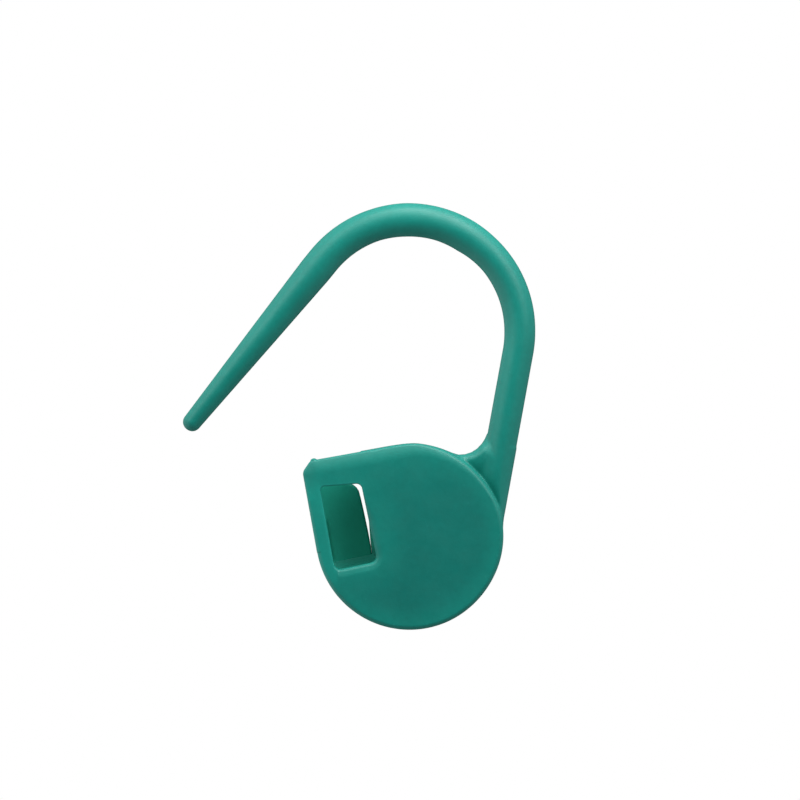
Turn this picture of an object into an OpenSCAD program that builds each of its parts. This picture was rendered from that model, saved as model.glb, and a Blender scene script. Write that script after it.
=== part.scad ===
// Locking stitch marker: a one-piece moulding with a flat round head, a springy
// round bow and a tapered pin that swings into a slot in the head.
// It lies flat: the back face of the head is z = 0, the front face looks up (+Z),
// the bow points along +Y and the origin is the centre of the head's back face.
// The moulding is cut into rigid zones where the real plastic bends, so every
// zone is a solid of its own and the bend is shared out over seven round knuckles.

/* [Head] */
// Radius of the round head
head_r = 4.88; // [4.7:0.02:5.2]
// Thickness of the head from back face to front face
head_t = 3.2; // [3.1:0.1:3.6]
// Rounding of the head's outer edges
edge_r = 0.25; // [0.1:0.05:0.4]
// Size of the bevel on the square corner, where the pin slides in
corner_bevel = 0.5; // [0.3:0.1:0.8]

/* [Window and slot] */
// X of the window's side towards the middle of the head
window_x1 = -1.95; // [-2.1:0.05:-1.8]
// X of the window's side towards the outer edge
window_x0 = -4.13; // [-4.2:0.01:-4.0]
// Y of the window's lower end
window_y0 = -1.01; // [-1.2:0.01:-0.8]
// Y of the window's upper end
window_y1 = 3.22; // [3.0:0.02:3.4]
// Height of the slot that the pin swings through
slot_h = 1.4; // [1.34:0.02:1.5]

/* [Latch tongue] */
// Thickness of the springy tongue behind the window
tongue_t = 0.7; // [0.5:0.05:0.7]
// Height of the lip that the pin's end rides over
lip_h = 0.13; // [0.08:0.01:0.14]
// Width of the slit beside the tongue at its free end
slit_w = 0.22; // [0.1:0.02:0.3]
// Clearance beside the tongue at its root
tongue_gap = 0.03; // [0.02:0.01:0.05]

/* [Bow] */
// Radius of the bow's arc, measured to the middle of the rod
bow_r = 5.8; // [5.6:0.05:6.0]
// Radius of the round rod at the leg
rod_r = 0.8; // [0.75:0.01:0.84]
// Thickness of the web between the leg and the head
web_t = 1.3; // [1.0:0.05:1.5]
// Growth of the rod's radius from one knuckle to the next
rod_step = 0.01; // [0:0.002:0.01]
// Radius of each knuckle, a little more than the rod's
knuckle_r = 0.95; // [0.93:0.01:1.0]
// Running gap in each knuckle
knuckle_gap = 0.03; // [0.02:0.005:0.05]

/* [Pin] */
// Length of the tapered pin to the middle of its round end
pin_len = 10.89; // [10.4:0.05:11.2]
// Radius of the pin's round end
tip_r = 0.48; // [0.42:0.01:0.5]

/* [Hidden] */
$fn = 96;

green = [0.09, 0.50, 0.44];
green_light = [0.16, 0.58, 0.52];
green_deep = [0.05, 0.40, 0.34];

mid_z = head_t / 2;                 // the bow and the pin lie in the middle plane
slot_z0 = mid_z - slot_h / 2;
slot_z1 = mid_z + slot_h / 2;

bow_c = [1.86, 10.5];               // centre of the bow's arc
arc_start = -20.5;                  // where the straight leg runs into the arc
arc_end = 130.8;                    // where the arc runs into the pin
hinges = 7;                         // knuckles along the arc, from one end to the other
hinge_step = (arc_end - arc_start) / (hinges - 1);
root_s = 4.5;                       // length of leg between the kink and the arc

function hinge_a(i) = arc_start + (i - 1) * hinge_step;
function arc_p(a) = [bow_c[0] + bow_r * cos(a), bow_c[1] + bow_r * sin(a)];
function link_r(i) = rod_r + rod_step * i;
// point beside the leg, s down from the arc's start and t towards the inside of the bow
function leg_p(s, t) = arc_p(arc_start) + s * [sin(arc_start), -cos(arc_start)] - t * [cos(arc_start), sin(arc_start)];

// ---------- head ----------

// Outline bar with rounded outer edges, drawn in (u, z), u running inwards from -head_r
module edge_profile() {
    union() {
        translate([-head_r + edge_r, 0]) square([head_r - edge_r + 1, head_t]);
        translate([-head_r, edge_r]) square([head_r + 1, head_t - 2 * edge_r]);
        translate([-head_r + edge_r, edge_r]) circle(r = edge_r);
        translate([-head_r + edge_r, head_t - edge_r]) circle(r = edge_r);
    }
}

module round_disc() {
    rotate_extrude()
        union() {
            square([head_r - edge_r, head_t]);
            translate([0, edge_r]) square([head_r, head_t - 2 * edge_r]);
            translate([head_r - edge_r, edge_r]) circle(r = edge_r);
            translate([head_r - edge_r, head_t - edge_r]) circle(r = edge_r);
        }
}

// Square corner that fills the head's upper left quarter
module square_corner() {
    difference() {
        intersection() {
            translate([-head_r, 0, 0]) cube([head_r, head_r, head_t]);
            // rounds the left edge
            rotate([90, 0, 0]) translate([0, 0, -head_r - 1]) linear_extrude(head_r + 2) edge_profile();
            // rounds the top edge
            rotate([0, 0, -90]) rotate([90, 0, 0]) translate([0, 0, -1]) linear_extrude(head_r + 2) edge_profile();
        }
        translate([-head_r, head_r, -1]) rotate([0, 0, 45])
            translate([-2, corner_bevel * -sqrt(0.5), 0]) cube([4, 3, head_t + 2]);
    }
}

module head_outline() {
    union() {
        round_disc();
        square_corner();
    }
}

// Body of the head: everything but the quarter that holds the window and the slot
module head_body() {
    color(green)
        difference() {
            head_outline();
            translate([-head_r - 1, window_y0, -1]) cube([head_r + 1 + window_x1, head_r + 3, head_t + 2]);
            // lead-in at the slot's upper end, where the closed pin leans towards the bow
            translate([0, 0, -1]) linear_extrude(slot_z1 + 1)
                polygon([[window_x1 - 1, window_y1 + 0.1], [window_x1, window_y1 + 0.1],
                         [window_x1 + 0.25, head_r + 0.5], [window_x1 - 1, head_r + 0.5]]);
            // round groove that the tongue's root turns in
            translate([window_x0 - 0.08, window_y0, slot_z0 - tongue_t / 2]) rotate([0, 90, 0])
                cylinder(r = tongue_t / 2 + knuckle_gap, h = window_x1 - window_x0 + 0.08);
        }
}

// Front bar above the window, which the closed pin passes under
module window_top_bar() {
    color(green)
        intersection() {
            head_outline();
            translate([-head_r - 1, window_y1, slot_z1]) cube([head_r + 1 + window_x1, 4, head_t]);
        }
}

// Narrow front bar between the window and the outer edge
module window_side_bar() {
    color(green)
        intersection() {
            head_outline();
            translate([-head_r - 1, window_y0, slot_z1]) cube([head_r + 1 + window_x0, window_y1 - window_y0, head_t]);
        }
}

// ---------- latch ----------

// Springy tongue behind the window; its round root turns in the head's groove, and a
// low lip along its outer edge is ramped on the side that the pin comes from
module latch_tongue() {
    x0 = window_x0 - 0.05;
    x1 = window_x1 - tongue_gap;
    top = window_y1 - 0.1;
    color(green_deep)
        union() {
            translate([0, 1.6, slot_z0]) rotate([90, 0, 0]) linear_extrude(2)
                polygon([[x0, -0.2], [x0 + 0.23, -0.2], [x0 + 0.23, 0], [x0 + 0.2, lip_h], [x0 + 0.13, lip_h], [x0, 0]]);
            translate([0, 0, slot_z0 - tongue_t])
                linear_extrude(tongue_t)
                    polygon([[x0, window_y0], [x1, window_y0], [x1, 0], [window_x1 - slit_w, top - 0.45],
                             [window_x1 - slit_w - 0.13, top - 0.13], [window_x1 - slit_w - 0.45, top],
                             [x0 + 0.2, top], [x0, top - 0.2]]);
            translate([x0, window_y0, slot_z0 - tongue_t / 2]) rotate([0, 90, 0])
                cylinder(r = tongue_t / 2, h = x1 - x0);
        }
}

// ---------- bow ----------

// Part of the bow's arc from angle a to angle b, as a round rod of radius r
module arc_rod(a, b, r) {
    translate([bow_c[0], bow_c[1], mid_z]) rotate([0, 0, a])
        rotate_extrude(angle = b - a) translate([bow_r, 0]) circle(r = r);
}

module upright(a, r) {
    p = arc_p(a);
    translate([p[0], p[1], -1]) cylinder(r = r, h = head_t + 2);
}

// Cuts the rod off beyond hinge i to the round end that the next link turns on
module round_off(i) {
    a = hinge_a(i);
    p = arc_p(a);
    difference() {
        translate([p[0], p[1], -1]) rotate([0, 0, a]) translate([-1.5, 0.25, 0]) cube([3, 2, head_t + 2]);
        upright(a, knuckle_r);
    }
}

// Straight rod along the leg; s is measured down from the start of the arc
module leg_rod(s0, s1) {
    p = arc_p(arc_start);
    translate([p[0], p[1], mid_z]) rotate([0, 0, arc_start]) rotate([90, 0, 0])
        translate([0, 0, s0]) cylinder(r = rod_r, h = s1 - s0);
}

// Web that carries the leg into the side of the head
module bow_root() {
    color(green)
        difference() {
            union() {
                translate([0, 0, mid_z - web_t / 2])
                    linear_extrude(web_t)
                        polygon([[2.45, 4.22], [2.8, 3.97], [3.11, 3.82], [3.45, 3.72], [3.76, 3.7], [4.05, 3.74],
                                 [4.3, 3.85], [4.57, 4.06], [4.81, 4.33], leg_p(root_s, rod_r - 0.04),
                                 leg_p(root_s, 0), [4.1, 0], [2, 2]]);
                leg_rod(root_s, 9.75);
            }
            translate([0, 0, -1]) cylinder(r = head_r, h = head_t + 2);
        }
}

// Straight leg, ending in the first knuckle
module bow_leg() {
    color(green)
        difference() {
            leg_rod(-1.2, root_s);
            round_off(1);
        }
}

// Link i of the bow: hollow end on knuckle i, round end for knuckle i + 1
module bow_link(i) {
    color(green_light)
        difference() {
            arc_rod(hinge_a(i), hinge_a(i + 1) + 12, link_r(i));
            upright(hinge_a(i), knuckle_r + knuckle_gap);
            round_off(i + 1);
        }
}

// ---------- pin ----------

module along_pin(s) {
    p = arc_p(arc_end);
    translate([p[0], p[1], mid_z]) rotate([0, 0, arc_end]) rotate([-90, 0, 0]) translate([0, 0, s]) children();
}

// Tapered pin, which turns on the last knuckle; its taper starts past the knuckle
module pin_shaft() {
    r = link_r(hinges - 1);
    color(green)
        difference() {
            along_pin(0) rotate_extrude()
                polygon([[0, 0], [r, 0], [r, 1.15], [tip_r, pin_len], [0, pin_len]]);
            upright(arc_end, knuckle_r + knuckle_gap);
        }
}

// Round end of the pin
module pin_tip() {
    color(green)
        intersection() {
            along_pin(pin_len) sphere(r = tip_r);
            along_pin(pin_len) cylinder(r = 2, h = 2);
        }
}

head_body();
window_top_bar();
window_side_bar();
bow_root();
bow_leg();
latch_tongue();
bow_link(1);  // bow_link_1
bow_link(2);  // bow_link_2
bow_link(3);  // bow_link_3
bow_link(4);  // bow_link_4
bow_link(5);  // bow_link_5
bow_link(6);  // bow_link_6
pin_shaft();
pin_tip();
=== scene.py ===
# Looks of the locking stitch marker: one soft green plastic moulding.
# The head and the tongue are polygonised from smooth distance fields, the bow and the pin are
# swept tubes, one length for each link of the bow and one for the pin.
import math

import bpy
import bmesh
import numpy as np
from mathutils import Matrix, Vector


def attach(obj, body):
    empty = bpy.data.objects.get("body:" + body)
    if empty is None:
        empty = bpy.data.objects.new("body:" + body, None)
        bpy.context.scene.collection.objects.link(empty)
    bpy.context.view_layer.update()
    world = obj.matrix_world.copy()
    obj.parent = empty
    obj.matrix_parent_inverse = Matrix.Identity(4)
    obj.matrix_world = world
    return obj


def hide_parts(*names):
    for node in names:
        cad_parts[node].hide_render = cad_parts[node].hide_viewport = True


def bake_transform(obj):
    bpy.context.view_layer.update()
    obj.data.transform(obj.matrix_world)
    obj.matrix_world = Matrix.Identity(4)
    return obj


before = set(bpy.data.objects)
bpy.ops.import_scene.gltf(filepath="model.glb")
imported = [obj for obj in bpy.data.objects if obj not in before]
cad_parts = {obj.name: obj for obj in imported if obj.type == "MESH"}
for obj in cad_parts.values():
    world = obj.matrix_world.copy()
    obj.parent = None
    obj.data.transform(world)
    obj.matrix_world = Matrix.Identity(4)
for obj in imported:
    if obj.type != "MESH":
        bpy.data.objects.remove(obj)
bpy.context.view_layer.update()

MM = 0.001

# ------------------------------------------------------------------ sizes, in mm
HEAD_R = 4.88
HEAD_T = 3.2
TOP_Y = 4.745           # the head's top is a little flatter than its disc
MID = HEAD_T / 2
WIN_X0, WIN_X1 = -4.13, -2.00
WIN_Y0, WIN_Y1 = -1.08, 3.13
SLOT_LOW, SLOT_TOP = 0.9, 2.3
BOW_C = np.array([1.86, 10.5])
BOW_R = 5.8
ARC_0, ARC_1 = -20.5, 130.8
PIN_LEN = 10.89
PIN_SHOW = 10.83        # the pin's taper ends here, then the round tip
TIP_R = 0.475
HINGES = 7
LEG_CUT = 2.6          # where the leg's tube starts, counted down from the arc


def arc_point(a):
    a = math.radians(a)
    return BOW_C + BOW_R * np.array([math.cos(a), math.sin(a)])


LEG_TOP = arc_point(ARC_0)
LEG_DOWN = np.array([math.sin(math.radians(ARC_0)), -math.cos(math.radians(ARC_0))])
LEG_IN = np.array([-math.cos(math.radians(ARC_0)), -math.sin(math.radians(ARC_0))])
PIN_TOP = arc_point(ARC_1)
PIN_DIR = np.array([math.cos(math.radians(ARC_1 + 90)), math.sin(math.radians(ARC_1 + 90))])

# fine ridge where the mould's halves meet
RIDGE, RIDGE_W = 0.014, 0.06


# ------------------------------------------------------------------ distance fields
def smin(a, b, k):
    h = np.clip(0.5 + 0.5 * (b - a) / k, 0, 1)
    return b + (a - b) * h - k * h * (1 - h)


def smax(a, b, k):
    return -smin(-a, -b, k)


def ramp01(a, b, v):
    t = np.clip((v - a) / (b - a), 0, 1)
    return t * t * (3 - 2 * t)


def round_and(a, b, r):
    """Both a and b, with the edge between them rounded to radius r."""
    return np.minimum(np.maximum(a, b), -r) + np.hypot(np.maximum(a + r, 0), np.maximum(b + r, 0))


def box2(x, y, x0, x1, y0, y1, r=0.0):
    dx = np.abs(x - (x0 + x1) / 2) - (x1 - x0) / 2 + r
    dy = np.abs(y - (y0 + y1) / 2) - (y1 - y0) / 2 + r
    return np.hypot(np.maximum(dx, 0), np.maximum(dy, 0)) + np.minimum(np.maximum(dx, dy), 0) - r


def poly2(x, y, pts):
    """Signed distance to a polygon."""
    d = np.full_like(x, 1e9)
    s = np.ones_like(x)
    n = len(pts)
    for i in range(n):
        ax, ay = pts[i]
        bx, by = pts[i - 1]
        ex, ey = bx - ax, by - ay
        wx, wy = x - ax, y - ay
        t = np.clip((wx * ex + wy * ey) / (ex * ex + ey * ey), 0, 1)
        d = np.minimum(d, (wx - ex * t) ** 2 + (wy - ey * t) ** 2)
        c1, c2, c3 = y >= ay, y < by, ex * wy > ey * wx
        flip = (c1 & c2 & c3) | (~c1 & ~c2 & ~c3)
        s = np.where(flip, -s, s)
    return s * np.sqrt(d)


def plate(d2, z, z0, z1, r):
    """A plate of outline d2 between z0 and z1 with edges of radius r."""
    return round_and(d2, np.abs(z - (z0 + z1) / 2) - (z1 - z0) / 2, r)


def dip_at(ang):
    """How far the disc's edge lies inside its full radius, by the angle in degrees."""
    return 0.014 + 0.080 * ramp01(0, 28, ang) * (1 - ramp01(78, 102, ang)) + 0.025 * np.exp(-(((ang + 48) / 24) ** 2))


def outline(x, y):
    """The head's outline: a disc whose upper left quarter is squared, with a bevelled corner."""
    ang = np.degrees(np.arctan2(y, x))
    disc = np.hypot(x, y) - HEAD_R + dip_at(ang)
    corner = box2(x, y, -HEAD_R, 0.4, -0.4, HEAD_R + 0.5)
    bevel = (-x + y) / math.sqrt(2) - (HEAD_R + TOP_Y - 0.50) / math.sqrt(2)
    flat = smax(y - TOP_Y, bevel, 0.10)
    inside_left = np.where((x <= 0) & (y >= 0), np.minimum(disc, corner), disc)
    return smax(inside_left, flat, 0.14)


def rod(x, y, z):
    """The leg's round rod, as long as the web needs it."""
    qx, qy = x - LEG_TOP[0], y - LEG_TOP[1]
    s = qx * LEG_DOWN[0] + qy * LEG_DOWN[1]
    t = qx * LEG_IN[0] + qy * LEG_IN[1]
    zz = z - MID
    ridge = RIDGE * np.exp(-((zz / RIDGE_W) ** 2))
    # a little stouter below the step where the web begins
    radial = np.hypot(t, zz) - 0.79 - 0.028 * ramp01(4.90, 5.10, s) * ramp01(0.35, 0.75, -t) - ridge
    return np.maximum(radial, np.maximum(s - 9.6, -s + LEG_CUT - 0.6)), s, t


def web_outline():
    """The web's free edge, from the disc up to the leg, then down the leg's axis."""
    pts = [(1.75, 4.35), (2.22, 4.17), (2.62, 3.97), (2.95, 3.80), (3.28, 3.67), (3.62, 3.63), (3.97, 3.68), (4.28, 3.81),
           (4.56, 4.02), (4.76, 4.24)]

    def leg_point(s, t):
        return tuple(LEG_TOP + LEG_DOWN * s + LEG_IN * t)

    pts += [leg_point(4.56, 0.83), leg_point(4.60, 0.55), leg_point(4.9, 0.10), leg_point(9.3, 0.10)]
    pts += [(4.0, -0.9), (1.5, 0.5)]
    return pts[::-1]


WEB = web_outline()


def fall(depth, width, slope, turn=0.4):
    """How far a crowned face has fallen, from 0 at depth = width to its most at depth = 0."""
    t = np.maximum(width - depth, 0)
    w = np.maximum(width * turn, 1e-3)
    return slope * np.where(t < w, t * t / (2 * w), t - w / 2)


def window_2d(x, y):
    wx = x - 0.027 * (WIN_Y1 - y) * np.clip((x - WIN_X0) / (WIN_X1 - WIN_X0), 0, 1.5)
    wy = y + 0.030 * (-3.04 - x) * np.clip((WIN_Y1 - y) / (WIN_Y1 - WIN_Y0), 0, 1.5) - 0.095 * (WIN_X1 - x) * np.clip((y - 1.0) / 2.2, 0, 1.1)
    win = np.where(y > 1.1, box2(wx, wy, WIN_X0, WIN_X1, WIN_Y0, WIN_Y1, 0.26), box2(wx, wy, WIN_X0, WIN_X1, WIN_Y0, WIN_Y1, 0.40))
    return win, wx, wy


def head_field(x, y, z):
    # the disc: its front face is crowned towards the top and the left, its edges are rounded
    d2 = outline(x, y)
    ang = np.degrees(np.arctan2(y, x))
    ridge = RIDGE * np.exp(-(((z - MID) / RIDGE_W) ** 2))
    width = np.interp(ang, [-180, -165, -140, -120, 10, 30, 50, 70, 90, 132, 150, 180], [0.90, 0.80, 0.35, 0.02, 0.12, 0.34, 0.42, 0.50, 0.66, 0.66, 0.90, 0.90])
    slope = np.interp(ang, [-180, -120, 0, 25, 55, 72, 90, 132, 150, 180], [0.10, 0.10, 0.16, 0.36, 0.43, 0.40, 0.39, 0.38, 0.10, 0.10])
    front = np.interp(ang, [-180, -130, 0, 30, 55, 75, 135, 160, 180], [0.22, 0.23, 0.25, 0.22, 0.18, 0.12, 0.10, 0.18, 0.20])
    r_edge = np.where(z > MID, front, 0.26)
    win, wx, wy = window_2d(x, y)
    # and it falls gently to the window's lower and right sides
    near = np.clip((WIN_Y1 - 0.4 - y) / 1.6, 0, 1) * np.where(x < WIN_X0 + 0.15, np.clip((WIN_Y0 + 0.35 - y) / 0.7, 0, 1), 1)
    top = HEAD_T - fall(-d2, 1.18 * width, slope, 0.75) - fall(np.maximum(win, 0), 0.42 * near + 0.001, 0.24, 0.4)
    body = round_and(d2 - ridge, np.maximum(z - top, -z), r_edge)
    # little burr beside the bevelled corner
    body = smin(body, np.hypot((x + 4.22) / 1.7, y - 4.75) - 0.085 + 0.25 * np.maximum(np.abs(z - 2.45) - 0.3, 0), 0.05)
    # web between leg and disc: level with the leg, with a valley against the disc, rising from its upper end
    leg, s, t = rod(x, y, z)
    web2 = poly2(x, y, WEB)
    out = np.maximum(np.hypot(x, y) - HEAD_R + dip_at(ang), 0)
    valley = 0.26 * np.exp(-out / 0.40) * (1 - ramp01(30, 50, ang))
    end = 1 - ramp01(4.35, 5.60, s + 0.45 * (t - 0.8))
    web_top = 2.33 - valley - 0.42 * end - 0.16 * np.exp(np.minimum(web2, 0) / 0.35)
    web = round_and(web2, np.maximum(z - web_top, 0.86 + 0.36 * end - z), 0.42)
    arm = smin(web, leg, 0.12 + 0.18 * ramp01(4.8, 5.8, s))
    arm = smax(arm, z - 2.44 + valley, 0.08)
    body = smin(body, arm, 0.15)
    # window: soft rim in front, rounded corners, the lower wall runs out onto the tongue
    foot = WIN_Y0 + 0.42 * np.clip((1.80 - z) / 0.90, 0, 1) ** 1.5 * ramp01(0.60, 0.86, z) * ramp01(-4.36, -4.08, x)
    lower = foot - wy
    win = np.where(z > 1.2, win, box2(x, wy, WIN_X0, WIN_X1, WIN_Y0, WIN_Y1 + 4, 0.36))
    rim = np.where(z > MID, 0.05 + 0.12 * near, 0.12)
    body = round_and(body, -smax(win, lower, 0.15), rim)
    # slot that is open to the left, to the top and to the back
    wall = WIN_X1 + 0.04 + 0.25 * np.clip((y - 3.32) / 2.06, 0, 2)
    slot = np.maximum(np.maximum(x - wall, lower), z - SLOT_TOP)
    body = round_and(body, -slot, 0.09)
    # the wedge that closes the slit beside the tongue towards its root
    wedge = poly2(x, y, [(-1.70, 1.45), (-1.935, 1.30), (-2.065, 0.10), (-2.085, -0.20), (-2.10, -1.3), (-1.70, -1.3)][::-1])
    body = smin(body, plate(wedge, z, 0.12, SLOT_LOW, 0.07), 0.04)
    # ejector pin marks on the back face
    for ex, ey, er in ((1.6, 1.7, 0.75), (0.9, -2.6, 0.75)):
        body = np.maximum(body, 0.045 * (1 - ramp01(er - 0.13, er + 0.13, np.hypot(x - ex, y - ey))) - z)
    return body


def tongue_field(x, y, z):
    x0 = WIN_X0 - 0.20      # the left and the top edge lie under the window's bars
    pts = [(x0, -1.5), (-2.095, -1.5), (-2.095, 0.50), (-2.135, 1.66), (-2.165, 2.30), (-2.20, 2.70), (-2.29, 2.91), (-2.44, 3.08),
           (-2.62, 3.20), (-2.88, 3.31), (-3.30, 3.46), (x0 + 0.15, 3.58), (x0, 3.44)]
    d2 = poly2(x, y, pts)
    body = plate(d2, z, 0.2, SLOT_LOW, 0.11)
    lip2 = poly2(x, z, [(x0 + 0.02, 0.6), (x0 + 0.17, 0.6), (x0 + 0.155, 1.0), (x0 + 0.135, 1.03), (x0 + 0.07, 1.03), (x0 + 0.03, 0.93)])
    lip = round_and(lip2, np.abs(y - 0.5) - 1.05, 0.06)
    return smin(body, lip, 0.08)


def gradient(f, p, e=0.012):
    g = np.empty_like(p)
    for a in range(3):
        q1, q2 = p.copy(), p.copy()
        q1[:, a] += e
        q2[:, a] -= e
        g[:, a] = f(q1[:, 0], q1[:, 1], q1[:, 2]) - f(q2[:, 0], q2[:, 1], q2[:, 2])
    return g / np.maximum(np.linalg.norm(g, axis=1, keepdims=True), 1e-9)


def surface_net(f, lo, hi, h):
    """Polygonises f = 0 inside a box: one vertex to a cell that the surface crosses, one quad to a crossed edge."""
    lo, hi = np.array(lo, float), np.array(hi, float)
    n = np.ceil((hi - lo) / h).astype(int) + 1
    axes = [lo[a] + h * np.arange(n[a]) for a in range(3)]
    v = np.empty(tuple(n), np.float32)
    gx, gy = np.meshgrid(axes[0], axes[1], indexing="ij")
    for k in range(n[2]):
        v[:, :, k] = f(gx, gy, np.full_like(gx, axes[2][k]))
    inside = v < 0
    count = np.zeros(tuple(n - 1), np.uint8)
    for i in (0, 1):
        for j in (0, 1):
            for k in (0, 1):
                count += inside[i:n[0] - 1 + i, j:n[1] - 1 + j, k:n[2] - 1 + k]
    cells = np.argwhere((count > 0) & (count < 8))
    index = np.full(tuple(n - 1), -1, np.int32)
    index[cells[:, 0], cells[:, 1], cells[:, 2]] = np.arange(len(cells))
    pos, num = np.zeros((len(cells), 3)), np.zeros(len(cells))
    corners = [(i, j, k) for i in (0, 1) for j in (0, 1) for k in (0, 1)]
    for a in range(8):
        for b in range(a + 1, 8):
            ca, cb = np.array(corners[a]), np.array(corners[b])
            if abs(ca - cb).sum() != 1:
                continue
            pa, pb = cells + ca, cells + cb
            fa = v[pa[:, 0], pa[:, 1], pa[:, 2]].astype(float)
            fb = v[pb[:, 0], pb[:, 1], pb[:, 2]].astype(float)
            m = (fa < 0) != (fb < 0)
            t = np.where(m, fa / np.where(m, fa - fb, 1), 0)
            pos += np.where(m[:, None], ca + t[:, None] * (cb - ca), 0)
            num += m
    pts = lo + h * (cells + pos / num[:, None])
    quads = []
    for axis in range(3):
        u, w = (axis + 1) % 3, (axis + 2) % 3
        a = [slice(None)] * 3
        b = [slice(None)] * 3
        a[axis], b[axis] = slice(0, n[axis] - 1), slice(1, n[axis])
        for q in (u, w):
            a[q] = b[q] = slice(1, n[q] - 1)
        ia, ib = inside[tuple(a)], inside[tuple(b)]
        e = np.argwhere(ia != ib)
        if not len(e):
            continue
        flip = ~ia[e[:, 0], e[:, 1], e[:, 2]]
        base = e.copy()
        base[:, u] += 1
        base[:, w] += 1
        ids = []
        for du, dw in ((-1, -1), (0, -1), (0, 0), (-1, 0)):
            c = base.copy()
            c[:, u] += du
            c[:, w] += dw
            ids.append(index[c[:, 0], c[:, 1], c[:, 2]])
        q = np.stack(ids, 1)
        q[flip] = q[flip][:, ::-1]
        quads.append(q)
    quads = np.concatenate(quads)
    for _ in range(3):
        g = gradient(f, pts)
        d = f(pts[:, 0], pts[:, 1], pts[:, 2])
        pts -= g * np.clip(d, -0.4 * h, 0.4 * h)[:, None]
    return pts, quads


# ------------------------------------------------------------------ meshes
def make_object(name, pts, faces, normals=None, flat_from=None, edge=None, thick_and_painted_light=None, inner=None):
    """A mesh from points in mm. normals are per vertex; faces from index flat_from on keep their own normal."""
    me = bpy.data.meshes.new(name)
    me.from_pydata([tuple(p) for p in (np.asarray(pts) * MM).tolist()], [], [tuple(f) for f in faces])
    me.validate()
    me.update()
    me.polygons.foreach_set("use_smooth", np.ones(len(me.polygons), bool))
    if normals is not None:
        vi = np.empty(len(me.loops), np.int32)
        me.loops.foreach_get("vertex_index", vi)
        ln = np.asarray(normals, float)[vi]
        if flat_from is not None:
            start = np.empty(len(me.polygons), np.int32)
            me.polygons.foreach_get("loop_start", start)
            fn = np.empty(len(me.polygons) * 3)
            me.polygons.foreach_get("normal", fn)
            fn = fn.reshape(-1, 3)
            s0 = start[flat_from] if flat_from < len(start) else len(ln)
            for k in range(flat_from, len(me.polygons)):
                p = me.polygons[k]
                ln[p.loop_start:p.loop_start + p.loop_total] = fn[k]
        me.normals_split_custom_set([tuple(q) for q in ln.tolist()])
    rest = me.attributes.new("rest_mm", "FLOAT_VECTOR", "POINT")
    co = np.empty(len(me.vertices) * 3, np.float32)
    me.vertices.foreach_get("co", co)
    rest.data.foreach_set("vector", (co * 1000.0).astype(np.float32))
    for label, values in (("edge_painted_highlight", edge), ("thick_and_painted_light", thick_and_painted_light), ("inner", inner)):
        att = me.attributes.new(label, "FLOAT", "POINT")
        plain = 0.4 if label == "thick_and_painted_light" else 0.0
        att.data.foreach_set("value", np.full(len(me.vertices), plain, np.float32) if values is None else np.asarray(values, np.float32))
    o = bpy.data.objects.new(name, me)
    bpy.context.scene.collection.objects.link(o)
    return o


def convexity(f, p, nrm, r=0.16):
    """0 on flats, up to 1 where the surface turns outwards sharply."""
    q = p - nrm * r
    d = -f(q[:, 0], q[:, 1], q[:, 2])
    return np.clip((r - d) / r * 2.2, 0, 1)


def head_piece():
    h = 0.05
    lo = (-5.163, -5.171, -0.267)      # off the flat faces, so that none lies on a plane of the grid
    hi = (7.6, 6.9, 3.45)
    pts, quads = surface_net(head_field, lo, hi, h)
    # exact flat cut where the leg's tube starts
    bm = bmesh.new()
    vs = [bm.verts.new(p) for p in pts.tolist()]
    for q in quads.tolist():
        try:
            bm.faces.new([vs[i] for i in q])
        except ValueError:
            pass
    cut = LEG_TOP + LEG_DOWN * LEG_CUT
    bmesh.ops.bisect_plane(bm, geom=bm.verts[:] + bm.edges[:] + bm.faces[:], dist=1e-5,
                           plane_co=(cut[0], cut[1], MID), plane_no=(-LEG_DOWN[0], -LEG_DOWN[1], 0), clear_outer=True)
    rim = [e for e in bm.edges if len(e.link_faces) == 1]
    n_side = len(bm.faces)
    bmesh.ops.holes_fill(bm, edges=rim, sides=0)
    bm.verts.index_update()
    bm.faces.ensure_lookup_table()
    pts = np.array([v.co[:] for v in bm.verts])
    faces = [[v.index for v in f.verts] for f in bm.faces]
    bm.free()
    n = gradient(head_field, pts)
    x, y, z = pts[:, 0], pts[:, 1], pts[:, 2]
    win = window_2d(x, y)[0]
    # the colour has painted light and shade: darker in the disc's thicker middle and less so towards its top, darker on
    # the window's lower wall, lighter along the thin left bar; inside the window a painted glow, as if light came
    # through the plastic
    thick_and_painted_light = 0.4 + 0.38 * ramp01(0.25, 1.4, -outline(x, y)) * ramp01(0.2, 2.0, win) * (1 - 0.5 * ramp01(0.5, 4.0, y))
    inner = (1 - ramp01(0.0, 0.12, win)) * (1 - ramp01(2.55, 2.95, z))
    thick_and_painted_light += 0.6 * inner * (1 - ramp01(WIN_Y0 + 0.5, WIN_Y0 + 0.8, y))
    bar = (1 - ramp01(-4.20, -3.95, x)) * ramp01(-2.6, -1.0, y) * (1 - ramp01(3.0, 4.3, y))
    thick_and_painted_light -= 0.34 * bar * (1 - inner)
    return make_object("head_shell", pts, faces, n, n_side, convexity(head_field, pts, n), thick_and_painted_light, inner)


def tongue_piece():
    h = 0.04
    pts, quads = surface_net(tongue_field, (-4.6, -1.8, -0.05), (-1.7, 3.8, 1.3), h)
    n = gradient(tongue_field, pts)
    # painted glow of light through the plastic, stronger on the tongue's front side
    return make_object("latch_tongue_skin", pts, quads.tolist(), n, None, convexity(tongue_field, pts, n, 0.08), None,
                       0.35 + 0.65 * ramp01(0.3, 0.8, pts[:, 2]))


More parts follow.
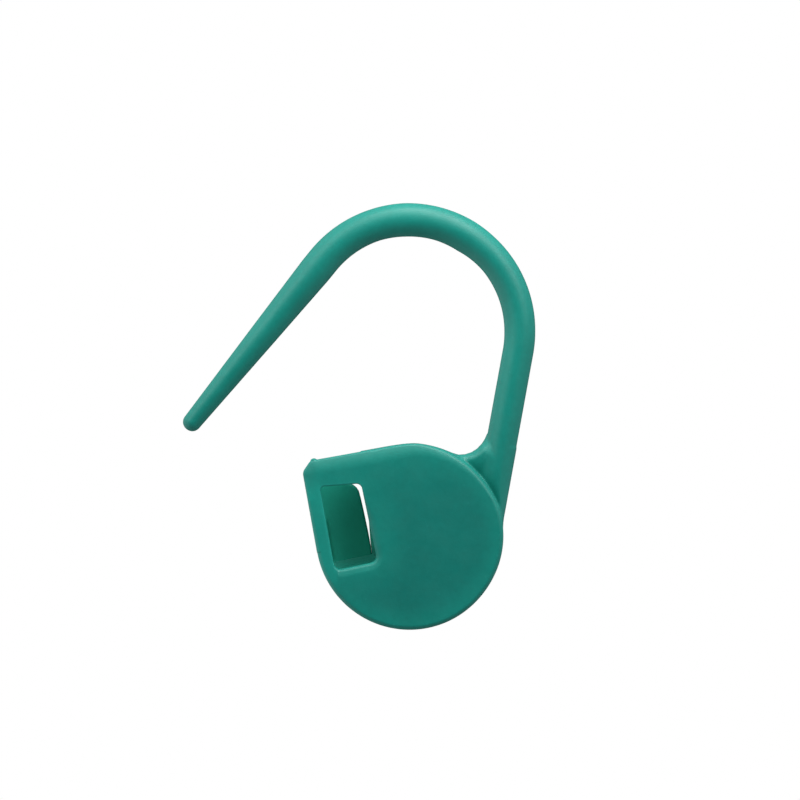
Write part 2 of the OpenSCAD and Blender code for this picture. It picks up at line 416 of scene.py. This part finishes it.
def section(q):
    """Centre, direction and radius of the rod at q: leg q < 0 (mm to the arc), arc 0..L, pin beyond."""
    # the moulding is not quite even: it wanders and swells a little round the bow
    off = float(np.interp(q, [0, 1, 5, 7, 8.5, 12, 15.3, 26], [0, -0.014, -0.015, -0.045, -0.026, -0.014, -0.030, -0.020]))
    more = float(np.interp(q, [0, 5, 5.8, 7, 8.5, 10.4, 12, 15.3, 20], [0, 0, 0.012, 0.045, 0.022, 0.024, -0.010, -0.018, -0.008]))
    if q < 0:
        return LEG_TOP - LEG_DOWN * q, -LEG_DOWN, 0.79
    if q <= ARC_LEN:
        a = ARC_0 + math.degrees(q / BOW_R)
        t = np.array([-math.sin(math.radians(a)), math.cos(math.radians(a))])
        return arc_point(a) + np.array([t[1], -t[0]]) * off, t, 0.79 + 0.07 * q / ARC_LEN + more
    s = q - ARC_LEN
    return PIN_TOP + PIN_DIR * s + np.array([PIN_DIR[1], -PIN_DIR[0]]) * off, PIN_DIR, 0.86 + (TIP_R - 0.86) * max(0.0, s - 0.6) / (PIN_LEN - 0.6) + more


ARC_LEN = BOW_R * math.radians(ARC_1 - ARC_0)


def ring_angles():
    n = 72
    base = list(np.linspace(0, 2 * math.pi, n, endpoint=False))
    for c in (0.0, math.pi):
        for d in (0.022, 0.05, 0.075, 0.11):
            base += [(c + d) % (2 * math.pi), (c - d) % (2 * math.pi)]
    base = sorted(base)
    out = [base[0]]
    for a in base[1:]:
        if a - out[-1] > 0.012:
            out.append(a)
    return np.array(out)


PHI = ring_angles()


def tube_piece(name, q0, q1, tip=False):
    step = 0.09
    qs = list(np.linspace(q0, q1, max(3, int(math.ceil((q1 - q0) / step)) + 1)))
    up = np.array([0.0, 0.0, 1.0])
    pts, nrm, faces = [], [], []
    cphi, sphi = np.cos(PHI), np.sin(PHI)
    rings = []

    def add_ring(c2, t2, r, slope):
        c = np.array([c2[0], c2[1], MID])
        t = np.array([t2[0], t2[1], 0.0])
        side = np.array([t2[1], -t2[0], 0.0])
        fade = min(1.0, r / 0.3)
        z = r * sphi
        bump = RIDGE * fade * np.exp(-((z / RIDGE_W) ** 2))
        rr = r + bump
        # slope of the ridge around the ring, for the normals
        dr = bump * (-2 * z / RIDGE_W ** 2) * (r * cphi)
        radial = cphi[:, None] * side + sphi[:, None] * up
        round_ = -sphi[:, None] * side + cphi[:, None] * up
        p = c + radial * rr[:, None]
        n = radial - round_ * (dr / rr)[:, None] - t * slope
        n /= np.linalg.norm(n, axis=1, keepdims=True)
        rings.append(len(pts))
        pts.extend(p.tolist())
        nrm.extend(n.tolist())

    for q in qs:
        c, t, r = section(q)
        add_ring(c, t, r, (section(q + 0.12)[2] - section(q - 0.12)[2]) / 0.24)
    if tip:
        c, t, r = section(q1)
        for a in np.linspace(0, math.pi / 2, 14)[1:-1]:
            add_ring(c + t * r * math.sin(a), t, r * math.cos(a), -math.tan(a))
        end = c + t * r
        pts.append([end[0], end[1], MID])
        nrm.append([t[0], t[1], 0.0])
    m = len(PHI)
    for a, b in zip(rings[:-1], rings[1:]):
        for k in range(m):
            l = (k + 1) % m
            faces.append([a + k, b + k, b + l, a + l])
    if tip:
        last = rings[-1]
        for k in range(m):
            faces.append([last + k, len(pts) - 1, last + (k + 1) % m])
    flat = len(faces)
    # closed inside, where one length of the rod meets the next
    c, t, r = section(q0)
    pts.append([c[0], c[1], MID])
    nrm.append([-t[0], -t[1], 0.0])
    for k in range(m):
        faces.append([k, (k + 1) % m, len(pts) - 1])
    if not tip:
        c, t, r = section(q1)
        pts.append([c[0], c[1], MID])
        nrm.append([t[0], t[1], 0.0])
        last = rings[-1]
        for k in range(m):
            faces.append([last + k, len(pts) - 1, last + (k + 1) % m])
    return make_object(name, np.array(pts), faces, np.array(nrm), flat)


# ------------------------------------------------------------------ plastic
def plastic():
    mat = bpy.data.materials.new("green_moulded_plastic")
    mat.use_nodes = True
    nt = mat.node_tree
    nodes, links = nt.nodes, nt.links
    nodes.clear()
    out = nodes.new("ShaderNodeOutputMaterial")
    bsdf = nodes.new("ShaderNodeBsdfPrincipled")
    links.new(bsdf.outputs["BSDF"], out.inputs["Surface"])
    rest = nodes.new("ShaderNodeAttribute")
    rest.attribute_name = "rest_mm"
    vec = rest.outputs["Vector"]
    edge_highlight_node = nodes.new("ShaderNodeAttribute")
    edge_highlight_node.attribute_name = "edge_painted_highlight"
    thick_and_painted_light = nodes.new("ShaderNodeAttribute")
    thick_and_painted_light.attribute_name = "thick_and_painted_light"
    inner = nodes.new("ShaderNodeAttribute")
    inner.attribute_name = "inner"

    def noise(scale, detail, rough, offset=0.0):
        n = nodes.new("ShaderNodeTexNoise")
        n.inputs["Scale"].default_value = scale
        n.inputs["Detail"].default_value = detail
        n.inputs["Roughness"].default_value = rough
        if offset:
            m = nodes.new("ShaderNodeVectorMath")
            m.operation = "ADD"
            m.inputs[1].default_value = (offset, offset * 0.7, -offset)
            links.new(vec, m.inputs[0])
            links.new(m.outputs[0], n.inputs["Vector"])
        else:
            links.new(vec, n.inputs["Vector"])
        return n.outputs["Fac"]

    def ramp(fac, stops):
        r = nodes.new("ShaderNodeValToRGB")
        links.new(fac, r.inputs["Fac"])
        el = r.color_ramp.elements
        el[0].position, el[0].color = stops[0][0], (*stops[0][1], 1)
        el[1].position, el[1].color = stops[-1][0], (*stops[-1][1], 1)
        for p, c in stops[1:-1]:
            e = el.new(p)
            e.color = (*c, 1)
        return r.outputs["Color"]

    def mix(a, b, fac, blend="MIX"):
        m = nodes.new("ShaderNodeMix")
        m.data_type = "RGBA"
        m.blend_type = blend
        for sock, val in ((m.inputs["Factor"], fac), (m.inputs["A"], a), (m.inputs["B"], b)):
            if isinstance(val, (int, float)):
                sock.default_value = val
            elif isinstance(val, tuple):
                sock.default_value = (*val, 1)
            else:
                links.new(val, sock)
        return m.outputs["Result"]

    def math_(op, a, b):
        m = nodes.new("ShaderNodeMath")
        m.operation = op
        for i, val in enumerate((a, b)):
            if isinstance(val, (int, float)):
                m.inputs[i].default_value = val
            else:
                links.new(val, m.inputs[i])
        return m.outputs[0]

    # colour: slow drift of the pigment, finer clouds, and a few specks
    slow = noise(0.33, 3.0, 0.55)
    base = ramp(slow, [(0.30, (0.0022, 0.250, 0.202)), (0.52, (0.0028, 0.268, 0.216)), (0.74, (0.0040, 0.286, 0.232))])
    cloud = noise(3.2, 4.0, 0.65, 11.0)
    base = mix(base, ramp(cloud, [(0.30, (0.80, 0.92, 0.92)), (0.70, (1.20, 1.07, 1.08))]), 0.60, "MULTIPLY")
    speck = nodes.new("ShaderNodeTexVoronoi")
    speck.inputs["Scale"].default_value = 1.15
    links.new(vec, speck.inputs["Vector"])
    dots = ramp(speck.outputs["Distance"], [(0.045, (1, 1, 1)), (0.10, (0, 0, 0))])
    base = mix(base, (0.020, 0.36, 0.30), math_("MULTIPLY", dots, 0.25))
    # painted highlight: a lighter colour on rounded edges that turn outwards
    edge = math_("MULTIPLY", edge_highlight_node.outputs["Fac"], math_("ADD", 0.35, math_("MULTIPLY", cloud, 0.5)))
    base = mix(base, (0.012, 0.33, 0.275), math_("MULTIPLY", edge, 0.60))
    # painted glow: greener inside the window, as if light came through the plastic; painted light and shade: deeper
    # where the moulding is thicker, paler where it is thinner
    base = mix(base, (0.0005, 0.345, 0.245), math_("MULTIPLY", inner.outputs["Fac"], math_("ADD", 0.80, math_("MULTIPLY", cloud, 0.25))))
    base = mix(base, ramp(thick_and_painted_light.outputs["Fac"], [(0.0, (1.25, 1.25, 1.24)), (0.4, (1.0, 1.0, 1.0)), (1.0, (0.72, 0.72, 0.75))]), 1.0, "MULTIPLY")
    links.new(base, bsdf.inputs["Base Color"])
    # sheen of the moulded skin
    rough = nodes.new("ShaderNodeMapRange")
    rough.inputs["To Min"].default_value = 0.36
    rough.inputs["To Max"].default_value = 0.56
    links.new(noise(1.1, 5.0, 0.6, 5.0), rough.inputs["Value"])
    links.new(math_("ADD", rough.outputs["Result"], math_("MULTIPLY", inner.outputs["Fac"], 0.16)), bsdf.inputs["Roughness"])
    bsdf.inputs["IOR"].default_value = 1.49
    bsdf.inputs["Specular IOR Level"].default_value = 0.5
    # skin: slow flow ripple under a fine grain
    h = math_("ADD", math_("MULTIPLY", noise(1.4, 2.0, 0.5, 3.0), 1.0), math_("MULTIPLY", noise(11.0, 4.0, 0.6, 8.0), 0.22))
    bump = nodes.new("ShaderNodeBump")
    bump.inputs["Strength"].default_value = 0.35
    bump.inputs["Distance"].default_value = 0.00004
    links.new(h, bump.inputs["Height"])
    links.new(bump.outputs["Normal"], bsdf.inputs["Normal"])
    return mat


# ------------------------------------------------------------------ build
MAT = plastic()
head = head_piece()
tongue = tongue_piece()
tubes = []
for i in range(HINGES):
    q0 = -LEG_CUT if i == 0 else ARC_LEN * (i - 0.5) / (HINGES - 1)
    q1 = ARC_LEN * (i + 0.5) / (HINGES - 1) if i < HINGES - 1 else ARC_LEN + PIN_SHOW
    tubes.append(tube_piece("bow_tube_%d" % (i + 1) if i < HINGES - 1 else "pin_tube", q0, q1, tip=i == HINGES - 1))
for o in [head, tongue] + tubes:
    o.data.materials.append(MAT)

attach(head, "head")
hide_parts("head_body", "window_top_bar", "window_side_bar", "bow_root", "bow_leg")
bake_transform(tongue)
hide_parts("latch_tongue")
for i, o in enumerate(tubes):
    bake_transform(o)
    if i < HINGES - 1:
        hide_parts("bow_link_%d" % (i + 1))
    else:
        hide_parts("pin_shaft", "pin_tip")


# ------------------------------------------------------------------ stage
def emission(name, colour, strength, one_sided=False):
    m = bpy.data.materials.new(name)
    m.use_nodes = True
    nt = m.node_tree
    nt.nodes.clear()
    out = nt.nodes.new("ShaderNodeOutputMaterial")
    em = nt.nodes.new("ShaderNodeEmission")
    em.inputs["Color"].default_value = (*colour, 1)
    em.inputs["Strength"].default_value = strength
    if one_sided:
        # seen from below the floor isn't there, so the marker's back can be looked at
        geo = nt.nodes.new("ShaderNodeNewGeometry")
        clear = nt.nodes.new("ShaderNodeBsdfTransparent")
        pick = nt.nodes.new("ShaderNodeMixShader")
        nt.links.new(geo.outputs["Backfacing"], pick.inputs["Fac"])
        nt.links.new(em.outputs[0], pick.inputs[1])
        nt.links.new(clear.outputs[0], pick.inputs[2])
        nt.links.new(pick.outputs[0], out.inputs["Surface"])
    else:
        nt.links.new(em.outputs[0], out.inputs["Surface"])
    return m


def only_camera(o):
    o.visible_diffuse = o.visible_glossy = o.visible_transmission = o.visible_volume_scatter = o.visible_shadow = False


def add_floor():
    me = bpy.data.meshes.new("floor")
    s = 0.6
    me.from_pydata([(-s, -s, -0.00002), (s, -s, -0.00002), (s, s, -0.00002), (-s, s, -0.00002)], [], [(0, 1, 2, 3)])
    o = bpy.data.objects.new("floor", me)
    bpy.context.scene.collection.objects.link(o)
    o.data.materials.append(emission("pale_floor", (1.0, 1.0, 1.0), 1.0, True))
    only_camera(o)
    # backdrop all round, as pale as the floor
    bm = bmesh.new()
    bmesh.ops.create_icosphere(bm, subdivisions=3, radius=0.8)
    me = bpy.data.meshes.new("backdrop")
    bm.to_mesh(me)
    bm.free()
    b = bpy.data.objects.new("backdrop", me)
    bpy.context.scene.collection.objects.link(b)
    b.data.materials.append(emission("pale_backdrop", (1.0, 1.0, 1.0), 1.0))
    only_camera(b)


def add_world():
    w = bpy.data.worlds.new("studio") if bpy.context.scene.world is None else bpy.context.scene.world
    bpy.context.scene.world = w
    w.use_nodes = True
    nt = w.node_tree
    nt.nodes.clear()
    out = nt.nodes.new("ShaderNodeOutputWorld")
    bg = nt.nodes.new("ShaderNodeBackground")
    tc = nt.nodes.new("ShaderNodeTexCoord")
    right, up, d = camera_axes()
    # four broad soft glows on the walls of the light tent, nothing much overhead
    total = None
    for axis, power in ((up, GLOW_UP), (-up, GLOW_DOWN), (-right, GLOW_LEFT), (right, GLOW_RIGHT)):
        dot = nt.nodes.new("ShaderNodeVectorMath")
        dot.operation = "DOT_PRODUCT"
        dot.inputs[1].default_value = tuple(axis)
        nt.links.new(tc.outputs["Generated"], dot.inputs[0])
        mr = nt.nodes.new("ShaderNodeMapRange")
        mr.interpolation_type = "SMOOTHSTEP"
        mr.inputs["From Min"].default_value = 0.2
        mr.inputs["From Max"].default_value = 1.0
        mr.inputs["To Max"].default_value = power
        nt.links.new(dot.outputs["Value"], mr.inputs["Value"])
        if total is None:
            total = mr.outputs["Result"]
        else:
            add = nt.nodes.new("ShaderNodeMath")
            add.operation = "ADD"
            nt.links.new(total, add.inputs[0])
            nt.links.new(mr.outputs["Result"], add.inputs[1])
            total = add.outputs[0]
    bg.inputs["Color"].default_value = (1, 1, 1, 1)
    nt.links.new(total, bg.inputs["Strength"])
    nt.links.new(bg.outputs[0], out.inputs["Surface"])


# camera: straight above the marker, turned as in the photograph
CAM_D = 200.0
CAM_TX, CAM_TY, CAM_ROLL = -0.3, 0.2, 10.18
CAM_S = 0.05218
CAM_AT = np.array([0.761, 7.02, 1.6])


def camera_axes():
    d = np.array([math.sin(math.radians(CAM_TX)), math.sin(math.radians(CAM_TY)), 0.0])
    d[2] = math.sqrt(1 - d[0] ** 2 - d[1] ** 2)
    r = math.radians(CAM_ROLL)
    right = np.cross(np.array([math.sin(r), math.cos(r), 0.0]), d)
    right /= np.linalg.norm(right)
    return right, np.cross(d, right), d


def add_camera():
    right, up, d = camera_axes()
    cam = bpy.data.cameras.new("camera")
    cam.sensor_width = 36.0
    cam.sensor_fit = "HORIZONTAL"
    cam.lens = 36.0 * CAM_D / (800 * CAM_S)
    cam.clip_start, cam.clip_end = 0.002, 5.0
    o = bpy.data.objects.new("camera", cam)
    bpy.context.scene.collection.objects.link(o)
    p = (CAM_AT + d * CAM_D) * MM
    o.matrix_world = Matrix(((right[0], up[0], d[0], p[0]), (right[1], up[1], d[1], p[1]), (right[2], up[2], d[2], p[2]), (0, 0, 0, 1)))
    bpy.context.scene.camera = o


def add_light(name, side, up_, high, size, power, aim=(1.0, 7.0, 1.6), dist=170.0, colour=(1, 1, 1)):
    """An area light placed by the picture's own right and up directions."""
    r, u, d = camera_axes()
    v = side * r + up_ * u + high * d
    v /= np.linalg.norm(v)
    li = bpy.data.lights.new(name, "AREA")
    li.shape = "ELLIPSE"
    li.size, li.size_y = size[0] * MM, size[1] * MM
    li.energy = power
    li.color = colour
    o = bpy.data.objects.new(name, li)
    bpy.context.scene.collection.objects.link(o)
    pos = (np.array(aim) + v * dist) * MM
    z = Vector(v.tolist())
    o.matrix_world = Matrix.Translation(Vector(pos.tolist())) @ z.to_track_quat("Z", "Y").to_matrix().to_4x4()
    o.visible_camera = False
    return o


GLOW_UP, GLOW_DOWN, GLOW_LEFT, GLOW_RIGHT = 0.60, 0.29, 0.86, 0.38
KEY_LOW, KEY_HIGH, SIDE_RIGHT, SIDE_LEFT = 0.0200, 0.0080, 0.0175, 0.0110
add_floor()
add_world()
add_camera()
add_light("key_low", 0.15, 0.97, 0.26, (60, 30), KEY_LOW, dist=60)
add_light("key_high", 0.15, 0.87, 0.50, (60, 40), KEY_HIGH, dist=60)
add_light("side_right", 0.60, 0.60, 0.57, (60, 40), SIDE_RIGHT, dist=70)
add_light("side_left", -0.60, 0.60, 0.57, (60, 40), SIDE_LEFT, dist=70)
# reaches only the marker's back, which the photograph doesn't show
add_light("from_below", 0.0, 0.0, -1.0, (50, 50), 0.0140, dist=70).visible_glossy = False
bpy.context.scene.view_settings.view_transform = "Standard"
